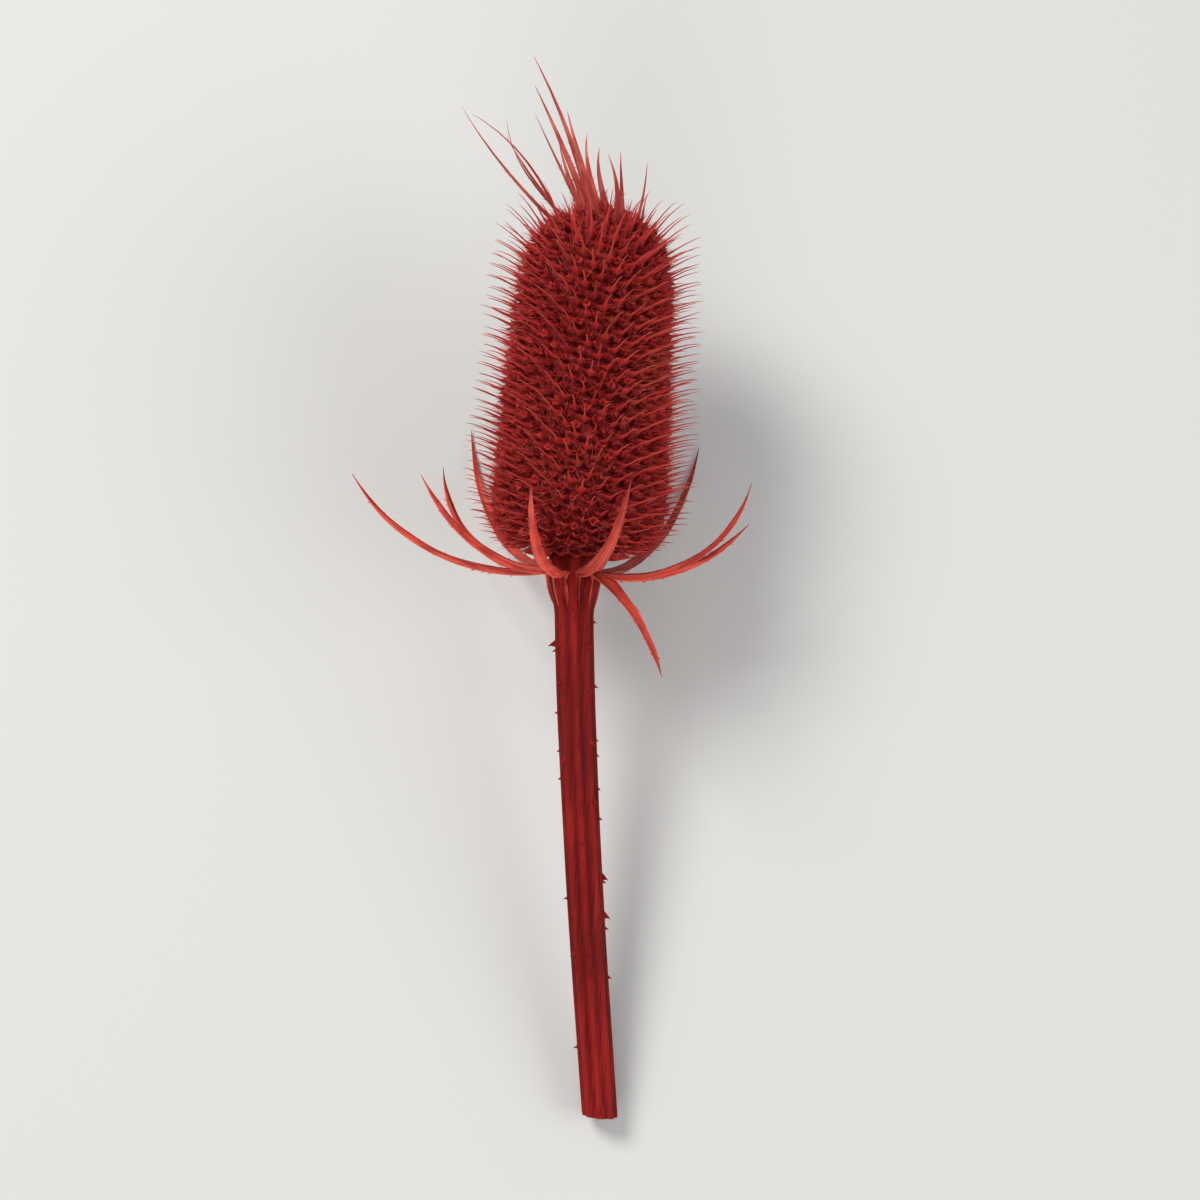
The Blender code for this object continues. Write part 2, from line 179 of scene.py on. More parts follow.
class Skin:
    """Gathers closed lofts into one mesh, with the coordinates that its material reads.

    fibre holds millimetres across, along and out of each blade or stalk, so that grain follows
    its length. blade holds the share along it, from -1 to 1 across it, and a tone of its own.
    """

    def __init__(self):
        self.points = []
        self.faces = []
        self.fibre = []
        self.blade = []
        self.count = 0

    def add(self, points, faces, fibre, blade):
        self.points.append(points)
        self.fibre.append(fibre)
        self.blade.append(blade)
        self.faces.extend(tuple(corner + self.count for corner in face) for face in faces)
        self.count += len(points)

    def loft(self, centres, sides, rises, section, along, tone):
        """Skins rings of (side, rise) points, shaped (rings, points, 2), along a centre line."""
        rings, count, _ = section.shape
        points = centres[:, None] + sides[:, None] * section[..., :1] + rises[:, None] * section[..., 1:]
        points = points.reshape(-1, 3)
        widest = np.abs(section[..., 0]).max(axis=1, keepdims=True) + 1e-9
        travel = np.append(0, np.cumsum(np.linalg.norm(np.diff(centres, axis=0), axis=1)))
        depth = section[..., 1] / MM + tone * TONE_SHIFT
        fibre = np.broadcast_arrays(section[..., 0] / MM, travel[:, None] / MM, depth)
        blade = np.broadcast_arrays(along[:, None], section[..., 0] / widest, tone)
        self.add(points, loft_faces(rings, count), stack_rows(fibre), stack_rows(blade))

    def mesh(self, name):
        made = bpy.data.meshes.new(name)
        made.from_pydata(np.concatenate(self.points).tolist(), [], self.faces)
        for label, rows in (("fibre", self.fibre), ("blade", self.blade)):
            layer = made.attributes.new(label, "FLOAT_VECTOR", "POINT")
            layer.data.foreach_set("vector", np.concatenate(rows).astype(np.float32).ravel())
        made.shade_smooth()
        return made


def stack_rows(columns):
    """Three columns of any like shape as one row of three for each point."""
    return np.stack(columns, axis=-1).reshape(-1, 3)


def loft_faces(rings, count):
    """Quads between rings, closed by a flat cap at the start and at the end."""
    faces = [tuple(range(count))[::-1]]
    for ring in range(rings - 1):
        low = ring * count
        for side in range(count):
            after = (side + 1) % count
            faces.append((low + side, low + after, low + after + count, low + side + count))
    last = (rings - 1) * count
    faces.append(tuple(range(last, last + count)))
    return faces


def new_object(name, data):
    made = bpy.data.objects.new(name, data)
    bpy.context.scene.collection.objects.link(made)
    return made


def add_piece(name, skin, material, nodes=(), sharp=None):
    """Puts a finished skin into the frame as a piece on the one body."""
    mesh = skin.mesh(name)
    mesh.transform(PLANT)
    mesh.materials.append(material)
    if sharp is not None:
        mesh.set_sharp_from_angle(angle=math.radians(sharp))
    piece = new_object(name, mesh)
    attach(piece, "root")
    if nodes:
        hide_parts(*nodes)


PLANT = plant_matrix()


# Materials


def noise(tree, source, scale, detail=4, roughness=0.55):
    """A noise pattern of a vector, stretched by one scale to each axis. Returns its value output."""
    stretch = tree.nodes.new("ShaderNodeMapping")
    stretch.inputs["Scale"].default_value = scale
    tree.links.new(source, stretch.inputs["Vector"])
    pattern = tree.nodes.new("ShaderNodeTexNoise")
    pattern.inputs["Scale"].default_value = 1
    pattern.inputs["Detail"].default_value = detail
    pattern.inputs["Roughness"].default_value = roughness
    tree.links.new(stretch.outputs["Vector"], pattern.inputs["Vector"])
    return pattern.outputs["Fac"]


def ramp(tree, value, stops):
    """Colours or greys at places from 0 to 1 along a value."""
    band = tree.nodes.new("ShaderNodeValToRGB")
    band.color_ramp.interpolation = "EASE"
    elements = band.color_ramp.elements
    while len(elements) < len(stops):
        elements.new(0.5)
    for element, (place, colour) in zip(elements, stops):
        element.position = place
        element.color = (*colour, 1) if isinstance(colour, tuple) else (colour, colour, colour, 1)
    tree.links.new(value, band.inputs["Fac"])
    return band.outputs["Color"]


def feed(tree, value, socket):
    """Links an output to a socket, or gives it a fixed colour or number."""
    if isinstance(value, bpy.types.NodeSocket):
        tree.links.new(value, socket)
    else:
        socket.default_value = (*value, 1) if isinstance(value, tuple) else value


def mix(tree, share, first, second, kind="MIX"):
    """Blends two colours, each an output or a fixed colour, by a share, an output or a number."""
    blend = tree.nodes.new("ShaderNodeMix")
    blend.data_type = "RGBA"
    blend.blend_type = kind
    for number, value in ((0, share), (6, first), (7, second)):
        feed(tree, value, blend.inputs[number])
    return blend.outputs[2]


def stain(tree, dye, value, start, end, colour):
    """Blends a colour in by a share that runs between two stops, each (place, share), of a value."""
    return mix(tree, ramp(tree, value, [start, end]), dye, colour)


def combine(tree, operation, first, second):
    """One step of arithmetic on two outputs or numbers."""
    step = tree.nodes.new("ShaderNodeMath")
    step.operation = operation
    feed(tree, first, step.inputs[0])
    feed(tree, second, step.inputs[1])
    return step.outputs[0]


def bump(tree, height, distance, strength):
    """A normal that is raised where the height is high, by a distance in metres."""
    raised = tree.nodes.new("ShaderNodeBump")
    raised.inputs["Strength"].default_value = strength
    raised.inputs["Distance"].default_value = distance
    tree.links.new(height, raised.inputs["Height"])
    return raised.outputs["Normal"]


def start_material(name):
    """A new material, its node tree and shader, and the outputs of the two stored coordinates."""
    material = bpy.data.materials.new(name)
    material.use_nodes = True
    tree = material.node_tree
    shader = tree.nodes["Principled BSDF"]
    sources = []
    for label in ("fibre", "blade"):
        reader = tree.nodes.new("ShaderNodeAttribute")
        reader.attribute_name = label
        sources.append(reader.outputs["Vector"])
    split = tree.nodes.new("ShaderNodeSeparateXYZ")
    tree.links.new(sources[1], split.inputs[0])
    return material, tree, shader, sources[0], split.outputs


def finish_material(tree, shader, dye, grain, roughness, specular, relief=None):
    """Links the colour, the roughness at a grain's low and high, and its depth and strength."""
    low, high = roughness
    tree.links.new(dye, shader.inputs["Base Color"])
    tree.links.new(ramp(tree, grain, [(0.3, low), (0.7, high)]), shader.inputs["Roughness"])
    if relief is not None:
        tree.links.new(bump(tree, grain, *relief), shader.inputs["Normal"])
    shader.inputs["Specular IOR Level"].default_value = specular


def stem_material():
    """Dark red dye on a dry ridged stalk: a painted highlight on the ridges' crests, painted shade in
    the grooves, lengthwise fibres, uneven soaking.
    """
    material, tree, shader, fibre, (_, _, tone) = start_material("dyed stalk")
    fibres = noise(tree, fibre, (2.6, 0.09, 2.6), detail=6, roughness=0.65)
    streaks = noise(tree, fibre, (1.1, 0.035, 1.1), detail=3)
    patches = noise(tree, fibre, (0.12, 0.06, 0.12), detail=3)
    dye = ramp(tree, fibres, [
        (0.30, (0.080, 0.0024, 0.0024)),
        (0.50, (0.170, 0.0048, 0.0044)),
        (0.72, (0.275, 0.0100, 0.0080)),
    ])
    dye = stain(tree, dye, tone, (0.35, 0.0), (0.95, 0.55), (0.30, 0.0120, 0.0095))  # painted highlight on the ridges' crests
    dye = stain(tree, dye, streaks, (0.5, 0.0), (0.72, 0.5), (0.31, 0.0170, 0.0130))  # pale streaks
    dye = stain(tree, dye, patches, (0.38, 0.55), (0.58, 0.0), (0.075, 0.0026, 0.0028))  # dark patches
    # Painted shade: darkest where the tone, which is high on the crests, is low, that is in the grooves
    hollow = combine(tree, "ADD", tone, combine(tree, "MULTIPLY", streaks, 0.3))
    dye = stain(tree, dye, hollow, (0.10, 0.6), (0.38, 0.0), (0.068, 0.0024, 0.0026))  # painted shade in the grooves
    finish_material(tree, shader, dye, fibres, (0.85, 0.58), 0.12, (0.12 * MM, 0.9))
    return material


def pith_material():
    """The cut end: a dull brownish red rim of wood round a paler, spongy pith."""
    material, tree, shader, fibre, (along, _, _) = start_material("cut pith")
    cells = noise(tree, fibre, (4.5, 4.5, 4.5), detail=5, roughness=0.7)
    rays = noise(tree, fibre, (1.5, 1.5, 1.5), detail=3)
    wood = ramp(tree, cells, [(0.3, (0.12, 0.008, 0.007)), (0.7, (0.36, 0.042, 0.030))])
    pith = ramp(tree, cells, [(0.3, (0.26, 0.040, 0.030)), (0.7, (0.58, 0.200, 0.150))])
    colour = stain(tree, pith, along, (0.30, 0.0), (0.42, 1.0), wood)
    colour = stain(tree, colour, rays, (0.45, 0.0), (0.7, 0.4), (0.14, 0.012, 0.012))
    finish_material(tree, shader, colour, cells, (0.95, 0.8), 0.2, (0.15 * MM, 1.0))
    return material


def bract_material():
    """Bright orange-red dye, darker at the foot where the dye is deeper and painted shade is added,
    browner at the spine, with fine lengthwise nerves and a painted highlight along the midrib.
    """
    material, tree, shader, fibre, (along, across, tone) = start_material("dyed bract")
    nerves = noise(tree, fibre, (3.4, 0.08, 3.4), detail=5, roughness=0.6)
    mottle = noise(tree, fibre, (0.55, 0.20, 0.55), detail=4)
    specks = noise(tree, fibre, (3.2, 2.1, 3.2), detail=2)
    # Darker towards the foot: partly the dye's own depth, partly painted shade at the base
    dye = ramp(tree, along, [
        (0.0, (0.19, 0.009, 0.008)),
        (0.07, (0.50, 0.026, 0.016)),
        (0.18, (0.66, 0.042, 0.022)),
        (0.50, (0.76, 0.060, 0.030)),
        (0.84, (0.54, 0.036, 0.020)),
        (1.0, (0.24, 0.018, 0.012)),
    ])
    dye = stain(tree, dye, nerves, (0.42, 0.0), (0.62, 0.75), (0.88, 0.135, 0.080))
    dye = stain(tree, dye, nerves, (0.30, 0.6), (0.44, 0.0), (0.40, 0.018, 0.014))
    dye = stain(tree, dye, mottle, (0.36, 0.8), (0.58, 0.0), (0.36, 0.016, 0.015))
    edge = combine(tree, "ABSOLUTE", across, 0)
    # Painted highlight along the midrib, where across is near zero
    dye = stain(tree, dye, edge, (0.0, 0.45), (0.16, 0.0), (0.90, 0.170, 0.110))
    dye = stain(tree, dye, edge, (0.70, 0.0), (1.0, 0.6), (0.26, 0.014, 0.012))
    dye = stain(tree, dye, specks, (0.66, 0.0), (0.74, 0.6), (0.17, 0.010, 0.009))
    shade = ramp(tree, tone, [(0.0, 0.70), (1.0, 1.0)])
    dye = mix(tree, 1.0, dye, shade, "MULTIPLY")
    finish_material(tree, shader, dye, nerves, (0.66, 0.44), 0.25, (0.10 * MM, 0.8))
    return material


def scale_material():
    """Crimson scales, dark at the foot and brighter at the edges, drawn out into paler dry awns."""
    material, tree, shader, fibre, (along, across, tone) = start_material("dyed scales")
    grain = noise(tree, fibre, (5.0, 0.35, 5.0), detail=4, roughness=0.6)
    dye = ramp(tree, along, [
        (0.0, (0.130, 0.0065, 0.0085)),
        (0.16, (0.345, 0.0165, 0.0185)),
        (0.34, (0.430, 0.0235, 0.0235)),
        (0.62, (0.470, 0.0410, 0.0340)),
        (1.0, (0.540, 0.1150, 0.0850)),
    ])
    dye = stain(tree, dye, grain, (0.42, 0.0), (0.68, 0.5), (0.52, 0.056, 0.044))
    edge = combine(tree, "ABSOLUTE", across, 0)
    dye = stain(tree, dye, edge, (0.55, 0.0), (1.0, 0.35), (0.48, 0.044, 0.035))
    dye = stain(tree, dye, tone, (0.66, 0.0), (0.98, 0.75), (0.30, 0.052, 0.026))  # browned scales
    dye = stain(tree, dye, tone, (0.04, 0.55), (0.42, 0.0), (0.130, 0.006, 0.011))  # deep wine scales
    finish_material(tree, shader, dye, grain, (0.80, 0.55), 0.15, (0.05 * MM, 0.7))
    return material


def crown_material():
    """Papery blades of the crown: crimson at the foot, drying to a dusty pink with fine nerves."""
    material, tree, shader, fibre, (along, _, tone) = start_material("papery blades")
    nerves = noise(tree, fibre, (5.5, 0.16, 5.5), detail=4, roughness=0.6)
    patches = noise(tree, fibre, (0.8, 0.25, 0.8), detail=3)
    dye = ramp(tree, along, [
        (0.0, (0.170, 0.0080, 0.0100)),
        (0.22, (0.360, 0.0280, 0.0250)),
        (0.60, (0.480, 0.0820, 0.0620)),
        (1.0, (0.560, 0.1700, 0.1250)),
    ])
    dye = stain(tree, dye, nerves, (0.40, 0.0), (0.66, 0.6), (0.66, 0.180, 0.130))
    dye = stain(tree, dye, patches, (0.40, 0.7), (0.60, 0.0), (0.30, 0.020, 0.018))
    shade = ramp(tree, tone, [(0.0, 0.75), (1.0, 1.0)])
    dye = mix(tree, 1.0, dye, shade, "MULTIPLY")
    finish_material(tree, shader, dye, nerves, (0.85, 0.6), 0.15, (0.05 * MM, 0.8))
    return material


def fuzz_material():
    """Fine dry hairs and husks that took the dye unevenly, from dark wine to a dusty brick red."""
    material, tree, shader, fibre, (along, _, tone) = start_material("dyed fuzz")
    grain = noise(tree, fibre, (2.0, 0.8, 2.0), detail=3)
    dye = ramp(tree, tone, [
        (0.0, (0.29, 0.016, 0.018)),
        (0.50, (0.52, 0.041, 0.036)),
        (1.0, (0.70, 0.170, 0.130)),
    ])
    dye = stain(tree, dye, grain, (0.4, 0.0), (0.7, 0.5), (0.24, 0.013, 0.015))
    dye = stain(tree, dye, along, (0.0, 0.45), (0.5, 0.0), (0.110, 0.006, 0.008))
    finish_material(tree, shader, dye, grain, (0.8, 0.6), 0.1)
    return material


def body_material():
    """The dark receptacle that shows only between the scales."""
    material, tree, shader, fibre, _ = start_material("dark receptacle")
    grain = noise(tree, fibre, (1.3, 1.3, 1.3), detail=5, roughness=0.65)
    dye = ramp(tree, grain, [(0.3, (0.110, 0.0060, 0.0080)), (0.7, (0.260, 0.0140, 0.0170))])
    finish_material(tree, shader, dye, grain, (0.95, 0.8), 0.15, (0.2 * MM, 1.0))
    return material


# The seed head


def head_meridian():
    """Columns along the outline from foot to crown: area, radius, height, lift of the normal."""
    turn = np.linspace(-math.pi / 2, math.pi / 2, MERIDIAN_STEPS)
    share = np.abs(np.sin(turn))
    power = np.where(turn < 0, FOOT_POWER, CROWN_POWER)
    reach = np.where(turn < 0, -CURVES_MEET_AT, HEAD_LENGTH - CURVES_MEET_AT)
    height = CURVES_MEET_AT + reach * share
    radius = HEAD_RADIUS * (1 - HEAD_TAPER * height / HEAD_LENGTH) * np.sqrt(1 - share ** power)
    step = np.hypot(np.diff(radius), np.diff(height))
    middle_radius = (radius[1:] + radius[:-1]) / 2
    return {
        "area": np.append(0, np.cumsum(2 * math.pi * middle_radius * step)),
        "radius": radius,
        "height": height,
        "lift": np.arctan2(-np.gradient(radius), np.gradient(height)),
    }


def scale_sites():
    """Where each scale sits, with its frame on the body, as in the solids."""
    meridian = head_meridian()
    area = meridian["area"]
    sites = []
    for number in range(SCALES):
        wanted = area[-1] * (number + 0.5) / SCALES
        radius, height, lift = (
            float(np.interp(wanted, area, meridian[column])) for column in ("radius", "height", "lift")
        )
        azimuth = number * GOLDEN_ANGLE
        outward, sideways = round_axis(azimuth)
        sites.append({
            "number": number,
            "place": outward * radius + UP * max(height, FOOT_FLAT),
            "normal": outward * math.cos(lift) + UP * math.sin(lift),
            "north": UP * math.cos(lift) - outward * math.sin(lift),
            "east": sideways,
            "azimuth": azimuth,
            "height": height,
            "lift": lift,
            "crown": number >= SCALES - CROWN_SCALES and number % CROWN_EVERY == 0,
        })
    return sites


def awn_length(site, draw):
    """Short at the foot, longer at the shoulder, and longest on the side to which the crown leans."""
    if site["crown"]:
        shortest, longest = CROWN_AWN_RANGE
        facing = (1 + math.cos(site["azimuth"] - CROWN_LEANS_TO)) / 2
        return (shortest + (longest - shortest) * facing) * (1 - draw.random() * CROWN_AWN_SCATTER)
    if site["number"] >= SCALES - CROWN_SCALES:
        return CROWN_SHORT_AWN
    if site["height"] < SIDE_AWNS_FROM:
        return LOW_AWN + (SIDE_AWN - LOW_AWN) * site["height"] / SIDE_AWNS_FROM
    rise = max(0, site["height"] - SHOULDER_FROM) / (HEAD_LENGTH - SHOULDER_FROM)
    return SIDE_AWN + (SHOULDER_AWN - SIDE_AWN) * rise + draw.uniform(-1, 1) * SIDE_AWN_SCATTER


def awn_direction(site, draw):
    """Outward and a little upward, fanning out over the crown, which leans to one side."""
    upright = site["lift"] / (math.pi / 2)
    lift = max(LOWEST_LIFT, site["lift"] + UPWARD_LEAN * (1 - max(0, upright)))
    if site["crown"]:
        lift = math.pi / 2 - CROWN_SPREAD * math.hypot(*site["place"][:2]) / CROWN_REACH
    lift = min(lift + draw.uniform(-1, 1) * AWN_SCATTER, math.pi / 2)
    outward, _ = round_axis(site["azimuth"] + draw.uniform(-1, 1) * AWN_SCATTER)
    direction = outward * math.cos(lift) + UP * math.sin(lift)
    if site["crown"]:
        direction = direction + round_axis(CROWN_LEANS_TO)[0] * CROWN_LEAN
    return unit(direction)


def awned_sites():
    """The sites that carry an awn, each with its awn's length, direction and bend."""
    draw = random.Random(HEAD_SEED)
    bending = random.Random(LOOK_SEED)
    sites = [site for site in scale_sites() if site["height"] > AWNS_START]
    for site in sites:
        site["length"] = awn_length(site, draw)
        site["direction"] = awn_direction(site, draw)
        site["bend"] = site["east"] * draw.uniform(-1, 1) + site["north"] * draw.uniform(-1, 1)
        site["sway"] = CROWN_SWAY if site["crown"] else bending.choice(SIDE_SWAYS)
        site["bow"] = 0 if site["crown"] else SIDE_BOW
    return sites


def foot_sites(draw):
    """The scales under the head's foot, round the disc, which point outward and a little down."""
    sites = [site for site in scale_sites() if site["height"] <= AWNS_START]
    chosen = []
    for site in sites:
        outward, _ = round_axis(site["azimuth"])
        if np.linalg.norm(site["place"][:2]) < DISC_RADIUS + DISC_ROOM:
            continue
        site["normal"], site["north"] = outward, UP
        site["direction"] = unit(outward - UP * draw.uniform(0.0, FOOT_DROOP))
        site["length"] = draw.uniform(*FOOT_LENGTHS) * MM
        site["bend"] = site["east"] * draw.uniform(-1, 1)
        site["sway"] = draw.choice(SIDE_SWAYS)
        site["bow"] = 0
        chosen.append(site)
    return chosen


# Each row: share along the blade, half width, fold and thickness, the last three in millimetres
SIDE_BLADE = np.array([
    (0.00, 0.55, 0.15, 0.16),
    (0.08, 1.02, 0.42, 0.18),
    (0.17, 1.16, 0.62, 0.17),
    (0.26, 0.94, 0.60, 0.16),
    (0.34, 0.50, 0.38, 0.16),
    (0.43, 0.23, 0.18, 0.15),
    (0.54, 0.14, 0.09, 0.14),
    (0.72, 0.10, 0.05, 0.11),
    (0.90, 0.06, 0.03, 0.07),
    (1.00, 0.02, 0.01, 0.02),
])
CROWN_BLADE = np.array([
    (0.00, 0.42, 0.12, 0.16),
    (0.07, 0.74, 0.32, 0.18),
    (0.15, 0.82, 0.40, 0.17),
    (0.25, 0.66, 0.30, 0.16),
    (0.32, 0.56, 0.22, 0.15),
    (0.42, 0.50, 0.18, 0.14),
    (0.52, 0.45, 0.15, 0.13),
    (0.63, 0.38, 0.12, 0.12),
    (0.74, 0.29, 0.08, 0.10),
    (0.85, 0.19, 0.05, 0.08),
    (0.94, 0.10, 0.02, 0.06),
    (1.00, 0.03, 0.01, 0.03),
])
CROWN_SWAY = 0.22  # how far a crown blade bends aside, as a share of its length
SIDE_SWAYS = (0.03, 0.03, 0.05, 0.05, 0.08, 0.15)  # most awns are nearly straight, a few are bent
SIDE_BOW = 0.10  # how far an awn bows up towards the crown before its tip turns outward
KEEL_SHARE = 0.10
DISC_ROOM = 0.7 * MM  # kept clear round the disc
FOOT_DROOP = 0.16
FOOT_LENGTHS = (1.5, 2.3)  # of the lowest scales, in millimetres
SNAPPED_SHARE = 0.05  # of the awns have lost their tip
SNAPPED_AT = (0.6, 0.85)  # of their length
BLADE_TWIST = 0.22
BLADE_SKEW = 0.25
BLADE_WIDTHS = (0.86, 1.12)
HAIR_COUNTS = {True: 16, False: 11}  # on a crown blade and on any other scale
HAIRS_END = {True: 0.62, False: 0.42}
HAIRS_FROM = 0.10
TUFT_HAIRS = 24
TUFT_SPREAD = 0.28 * MM
TUFT_BEND = 0.42 * MM
HUSK_POINTS = 8
HUSK_SIZES = (0.7, 1.05)
BODY_DEPTH = 0.55 * MM  # the receptacle's skin lies this far inside the body's outline
BODY_RINGS = 60
BODY_SIDES = 96


def dye_patch(site):
    """A smooth value from 0 to 1 over the head, where the dye and the weather took unevenly."""
    turn, rise = site["azimuth"], site["height"] / HEAD_LENGTH
    patch = math.sin(2 * turn + 7 * rise) + math.sin(3 * turn - 11 * rise + 1)
    return 0.5 + (patch + math.sin(5 * turn + 19 * rise)) / 6


def blade_section(rows, widen):
    """Eight points across a folded blade: two edges, a keel below and a channel above."""
    half, fold, thick = (rows[:, column] * MM for column in (1, 2, 3))
    half = half * widen
    rings = []
    for share, side in (
        (-1, 0), (-0.55, -1), (0, -1), (0.55, -1), (1, 0), (0.55, 1), (0, 1), (-0.55, 1)
    ):
        rise = fold * abs(share) ** 1.4 + side * thick / 2
        if share == 0 and side < 0:
            rise = rise - half * KEEL_SHARE
        rings.append(np.stack([half * share, rise], axis=-1))
    return np.stack(rings, axis=1)


def bezier(controls, along):
    """Points and unit tangents of a cubic curve at shares along it."""
    t = along[:, None]
    a, b, c, d = controls
    points = (1 - t) ** 3 * a + 3 * (1 - t) ** 2 * t * b + 3 * (1 - t) * t ** 2 * c + t ** 3 * d
    slopes = 3 * (1 - t) ** 2 * (b - a) + 6 * (1 - t) * t * (c - b) + 3 * t ** 2 * (d - c)
    return points, unit(slopes)


def scale_line(site, along):
    """A scale's centre line: out of the body, round under the seed, and away along the awn."""
    centre = site["place"] + site["normal"] * SCALE_RISE
    foot = site["place"] - site["normal"] * 0.9 * MM - site["north"] * 0.35 * MM
    under = centre - site["north"] * 0.75 * MM - site["normal"] * 0.1 * MM
    reach = site["direction"] * site["length"]
    sway = (site["bend"] * site["sway"] + site["north"] * site["bow"]) * site["length"]
    return bezier((foot, under, centre + reach * 0.5 + sway, centre + reach), along)


def head_scales(sites, draw):
    """Every scale as a folded blade drawn out into its awn; a few awns are snapped short."""
    skin = Skin()
    for site in sites:
        rows = CROWN_BLADE if site["crown"] else SIDE_BLADE
        along = rows[:, 0]
        if not site["crown"] and draw.random() < SNAPPED_SHARE:
            along = along * draw.uniform(*SNAPPED_AT)
        points, tangents = scale_line(site, along)
        inward = site["north"] + site["east"] * draw.uniform(-BLADE_TWIST, BLADE_TWIST)
        rises = unit(inward - tangents * (tangents @ inward)[:, None])
        sides = np.cross(rises, tangents)
        section = blade_section(rows, draw.uniform(*BLADE_WIDTHS))
        section[..., 0] += section[..., 1] * draw.uniform(-BLADE_SKEW, BLADE_SKEW)
        tone = 0.6 * draw.random() + 0.4 * dye_patch(site)
        skin.loft(points, sides, rises, section, along, tone)
    return skin


def needles(skin, roots, directions, lengths, widths, tones, bends=None):
    """Fine three-sided hairs, each a bent shaft of two lengths that ends in a point."""
    directions = unit(directions)
    helper = np.where(np.abs(directions[:, 2:]) < 0.8, UP, np.array([1.0, 0.0, 0.0]))
    first = unit(np.cross(directions, helper))
    second = np.cross(directions, first)
    if bends is None:
        bends = np.zeros_like(roots)
    middle = roots + directions * lengths[:, None] * 0.5 + bends * 0.25
    tip = roots + directions * lengths[:, None] + bends
    rings = []
    for centre, share in ((roots, 1.0), (middle, 0.75)):
        for angle in (0, 2 * math.pi / 3, 4 * math.pi / 3):
            turned = first * math.cos(angle) + second * math.sin(angle)
            rings.append(centre + turned * (widths * share / 2)[:, None])
    rings.append(tip)
    points = np.stack(rings, axis=1).reshape(-1, 3)
    one = [(2, 1, 0), (0, 1, 4, 3), (1, 2, 5, 4), (2, 0, 3, 5), (3, 4, 6), (4, 5, 6), (5, 3, 6)]
    each = len(rings)
    starts = range(0, each * len(roots), each)
    faces = [tuple(corner + start for corner in face) for start in starts for face in one]
    share = np.tile([0, 0, 0, 0.5, 0.5, 0.5, 1], len(roots))
    tone = np.repeat(tones, each)
    travel = share * np.repeat(lengths, each) / MM
    fibre = np.stack([tone * SIDE_SHIFT, travel, tone * TONE_SHIFT], axis=-1)
    blade = np.stack([share, np.zeros_like(share), tone], axis=-1)
    skin.add(points, faces, fibre, blade)


def head_hairs(sites, rng):
    """Hairs that fringe each scale's edges."""
    skin = Skin()
    hairs = []
    for site in sites:
        rows = CROWN_BLADE if site["crown"] else SIDE_BLADE
        count = HAIR_COUNTS[site["crown"]]
        along = rng.uniform(HAIRS_FROM, HAIRS_END[site["crown"]], count)
        points, tangents = scale_line(site, along)
        rises = unit(site["north"] - tangents * (tangents @ site["north"])[:, None])
        sides = np.cross(rises, tangents)
        half, fold = (np.interp(along, rows[:, 0], rows[:, column]) * MM for column in (1, 2))
        flank = rng.choice([-1.0, 1.0], count)
        hairs.append((
            points + sides * (flank * half * 0.9)[:, None] + rises * (fold * 0.8)[:, None],
            tangents * 0.8 + sides * flank[:, None] * 0.75 + rng.normal(0, 0.25, (count, 3)),
            rng.uniform(0.45, 1.15, count) * MM,
            rng.uniform(0.05, 0.085, count) * MM,
            rng.uniform(0.2, 1.0, count),
        ))
    needles(skin, *map(np.concatenate, zip(*hairs)))
    return skin


def head_tufts(sites, rng):
    """The silky remains of the flowers: a loose tuft of bent hairs in the axil of each scale."""
    skin = Skin()
    places = np.array([site["place"] for site in sites])
    normals = np.array([site["direction"] for site in sites])
    norths = np.array([site["north"] for site in sites])
    roots = np.repeat(places + norths * 1.05 * MM - normals * 0.3 * MM, TUFT_HAIRS, axis=0)
    count = len(roots)
    roots += rng.normal(0, TUFT_SPREAD, (count, 3))
    directions = np.repeat(normals, TUFT_HAIRS, axis=0) + rng.normal(0, 0.34, (count, 3))
    lengths = rng.uniform(1.4, 3.2, count) * MM
    bends = rng.normal(0, TUFT_BEND, (count, 3))
    patches = np.repeat([dye_patch(site) for site in sites], TUFT_HAIRS)
    tones = 0.65 * rng.random(count) + 0.35 * patches
    needles(skin, roots, directions, lengths, rng.uniform(0.05, 0.10, count) * MM, tones, bends)
    return skin


def head_husks(sites, draw):
    """The four-cornered husk of a seed above each scale, with a flared and toothed rim."""
    skin = Skin()
    angles = round_angles(HUSK_POINTS)
    heights = np.array([-0.9, 0.1, 0.75, 1.15, 1.0, 0.4]) * MM
    radii = np.array([0.34, 0.46, 0.42, 0.58, 0.46, 0.20]) * MM
    ring = np.stack([np.cos(angles), np.sin(angles)], axis=-1)
    ribs = 1 + 0.16 * np.cos(4 * angles)
    teeth = np.where(np.arange(HUSK_POINTS) % 2 == 0, 0.35, -0.15) * MM
    for site in sites:
        if site["crown"]:
            continue
        size = draw.uniform(*HUSK_SIZES)
        lean = unit(site["direction"] + 0.2 * site["east"] * draw.uniform(-1, 1))
        base = site["place"] + site["north"] * 1.15 * MM
        sides = unit(np.cross(site["north"], lean))
        rises = np.cross(lean, sides)
        section = radii[:, None, None] * size * ribs[None, :, None] * ring
        points = base + heights[:, None, None] * size * lean
        points = points + section[..., :1] * sides + section[..., 1:] * rises
        ragged = np.array([draw.uniform(0.2, 1.6) for _ in range(HUSK_POINTS)])
        points[3] += (teeth * ragged)[:, None] * lean
        rim = points[2:5]
        points[2:5] = rim + (rim - rim.mean(axis=1, keepdims=True)) * (ragged[:, None] - 0.9) * 0.35
        tone = draw.random() * 0.5
        along = np.linspace(0, 1, len(heights))
        blade = stack_rows(np.broadcast_arrays(along[:, None], 0.0 * angles, tone))
        flat = points.reshape(-1, 3)
        skin.add(flat, loft_faces(len(heights), HUSK_POINTS), flat / MM, blade)
    return skin


